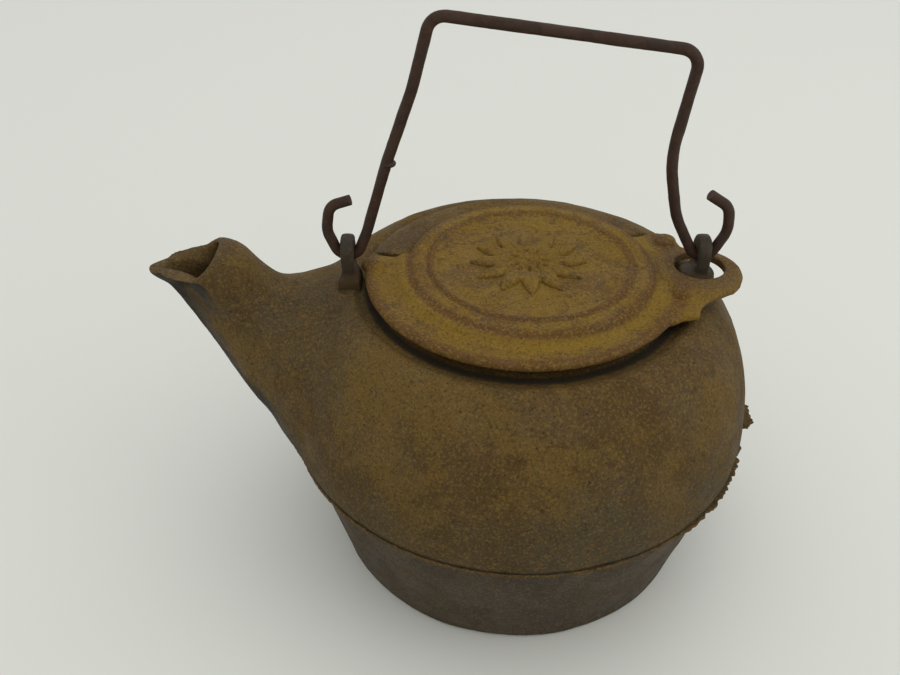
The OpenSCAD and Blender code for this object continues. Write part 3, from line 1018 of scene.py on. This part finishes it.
# %% Lid finish
finish = Finish("ochre_lid_iron", (112, 85, 28), (0.66, 0.88), 1500, 0.9, 0.6)
finish.lay((92, 66, 30), finish.mask("rust_patches", Scale=38, Cover=0.46, Edge=0.05), 0.75)
finish.lay((124, 96, 28), finish.mask("rust_patches", Scale=30, Cover=0.42, Edge=0.05), 0.6)
finish.lay((78, 60, 34), finish.mask("rust_patches", Scale=120, Cover=0.43, Edge=0.04), 0.65)
for centre, radius, width, amount in ((0.004, 0.0465, 0.003, 0.8), (0.004, 0.0555, 0.0035, 0.75),
                                      (0.001, 0.0722, 0.0055, 0.8)):
    ridge = finish.mask("round_band", Centre=centre, Radius=radius, Width=width)
    broken = finish.mask("rust_patches", Scale=90, Cover=0.66, Edge=0.1)
    finish.lay((84, 56, 28), finish.times(ridge, broken), amount)
cove = finish.mask("round_band", Centre=0.004, Radius=0.0605, Width=0.004)
finish.lay((126, 98, 26), cove, 0.6)
lug_band = finish.mask("round_band", Centre=0.0813, Radius=0.008, Width=0.022)
finish.lay((82, 62, 40), lug_band, 0.7)
finish.speckle((138, 110, 44), (62, 46, 24), 0.5)
finish.lay((46, 36, 22), finish.pit, 0.6)
lid_iron = finish.done()

# %% Rod and ear finishes
finish = Finish("brown_rod_iron", (60, 42, 30), (0.5, 0.75), 1100, 0.6, 0.4)
finish.lay((46, 33, 25), finish.mask("rust_patches", Scale=60, Cover=0.5, Edge=0.1), 0.7)
finish.lay((84, 55, 36), finish.mask("rust_patches", Scale=240, Cover=0.36, Edge=0.05), 0.5)
finish.lay((34, 28, 24), finish.pit, 0.6)
rod_iron = finish.done()

finish = Finish("grey_ear_iron", (66, 56, 42), (0.5, 0.75), 1400, 0.8, 0.5)
finish.lay((46, 40, 30), finish.mask("rust_patches", Scale=110, Cover=0.5, Edge=0.08), 0.7)
finish.lay((68, 52, 28), finish.mask("height_fade", From=0.1565, To=0.149), 0.9)
finish.lay((36, 30, 25), finish.pit, 0.6)
ear_iron = finish.done()

for piece, material in ((well, well_iron), (body, body_iron), (flash, body_iron),
                        (gate, body_iron), (front_ear, ear_iron), (rear_ear, ear_iron),
                        (lid, lid_iron), (blossom, lid_iron), (bail, rod_iron)):
    wear(piece, material)
print("finishes", [material.name for material in bpy.data.materials])

# %% [markdown]
# ## Tie the pieces to the frame
# Each piece moves with a body of the CAD model, and stands in for the plain CAD node of the
# same part.

# %% Ride and replace
for piece, node, slot in ((well, "stove_well", "soot_black_iron"), (body, "kettle_shell", "rusted_iron"),
                          (front_ear, "front_ear", "rusted_iron"),
                          (rear_ear, "rear_ear", "rusted_iron")):
    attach(piece, "kettle")
    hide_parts(node)
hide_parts("deck", "spout")
for piece in (flash, gate):
    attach(piece, "kettle")
for piece in (lid, blossom):
    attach(piece, "lid")
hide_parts("lid")
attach(bail, "bail")
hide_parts("bail")

# %% [markdown]
# ## Floor, light and camera
# The floor is plain and pale. Light comes from all round, as in a bright room, with a large
# soft lamp overhead and a smaller one to the right. The camera looks down at the near side.

# %% Floor
bpy.ops.object.select_all(action="DESELECT")
bpy.ops.mesh.primitive_plane_add(size=6, location=(0, 0, 0))
floor = bpy.context.object
floor.name = "pale_floor"
floor_paint = bpy.data.materials.new("pale_floor_paint")
floor_paint.use_nodes = True
floor_shader = floor_paint.node_tree.nodes["Principled BSDF"]
floor_shader.inputs["Base Color"].default_value = linear(219, 219, 209)
floor_shader.inputs["Roughness"].default_value = 0.55
wear(floor, floor_paint)

# %% Light
sky = bpy.data.worlds.new("bright_room")
bpy.context.scene.world = sky
sky.use_nodes = True
sky.node_tree.nodes["Background"].inputs["Color"].default_value = (0.96, 0.98, 1, 1)
sky.node_tree.nodes["Background"].inputs["Strength"].default_value = 0.86


def lamp(name, place, aim, size, power):
    data = bpy.data.lights.new(name, "AREA")
    data.size = size
    data.energy = power
    obj = bpy.data.objects.new(name, data)
    bpy.context.scene.collection.objects.link(obj)
    obj.location = place
    obj.rotation_euler = (Vector(aim) - Vector(place)).to_track_quat("-Z", "Y").to_euler()


lamp("ceiling_light", (0.35, 0.1, 1.7), (0, 0, 0.1), 1.8, 4.5)
lamp("window_light", (1.3, -0.5, 1.1), (0, 0, 0.1), 1.0, 3.0)
bpy.context.scene.view_settings.view_transform = "Standard"

# %% Camera
camera_data = bpy.data.cameras.new("camera")
camera_data.lens = 36.32
camera_data.sensor_width = 36
camera = bpy.data.objects.new("camera", camera_data)
bpy.context.scene.collection.objects.link(camera)
camera.location = (-0.03304, -0.35616, 0.37697)
camera.rotation_euler = (math.radians(90 - 36.62), 0, 0)
bpy.context.scene.camera = camera
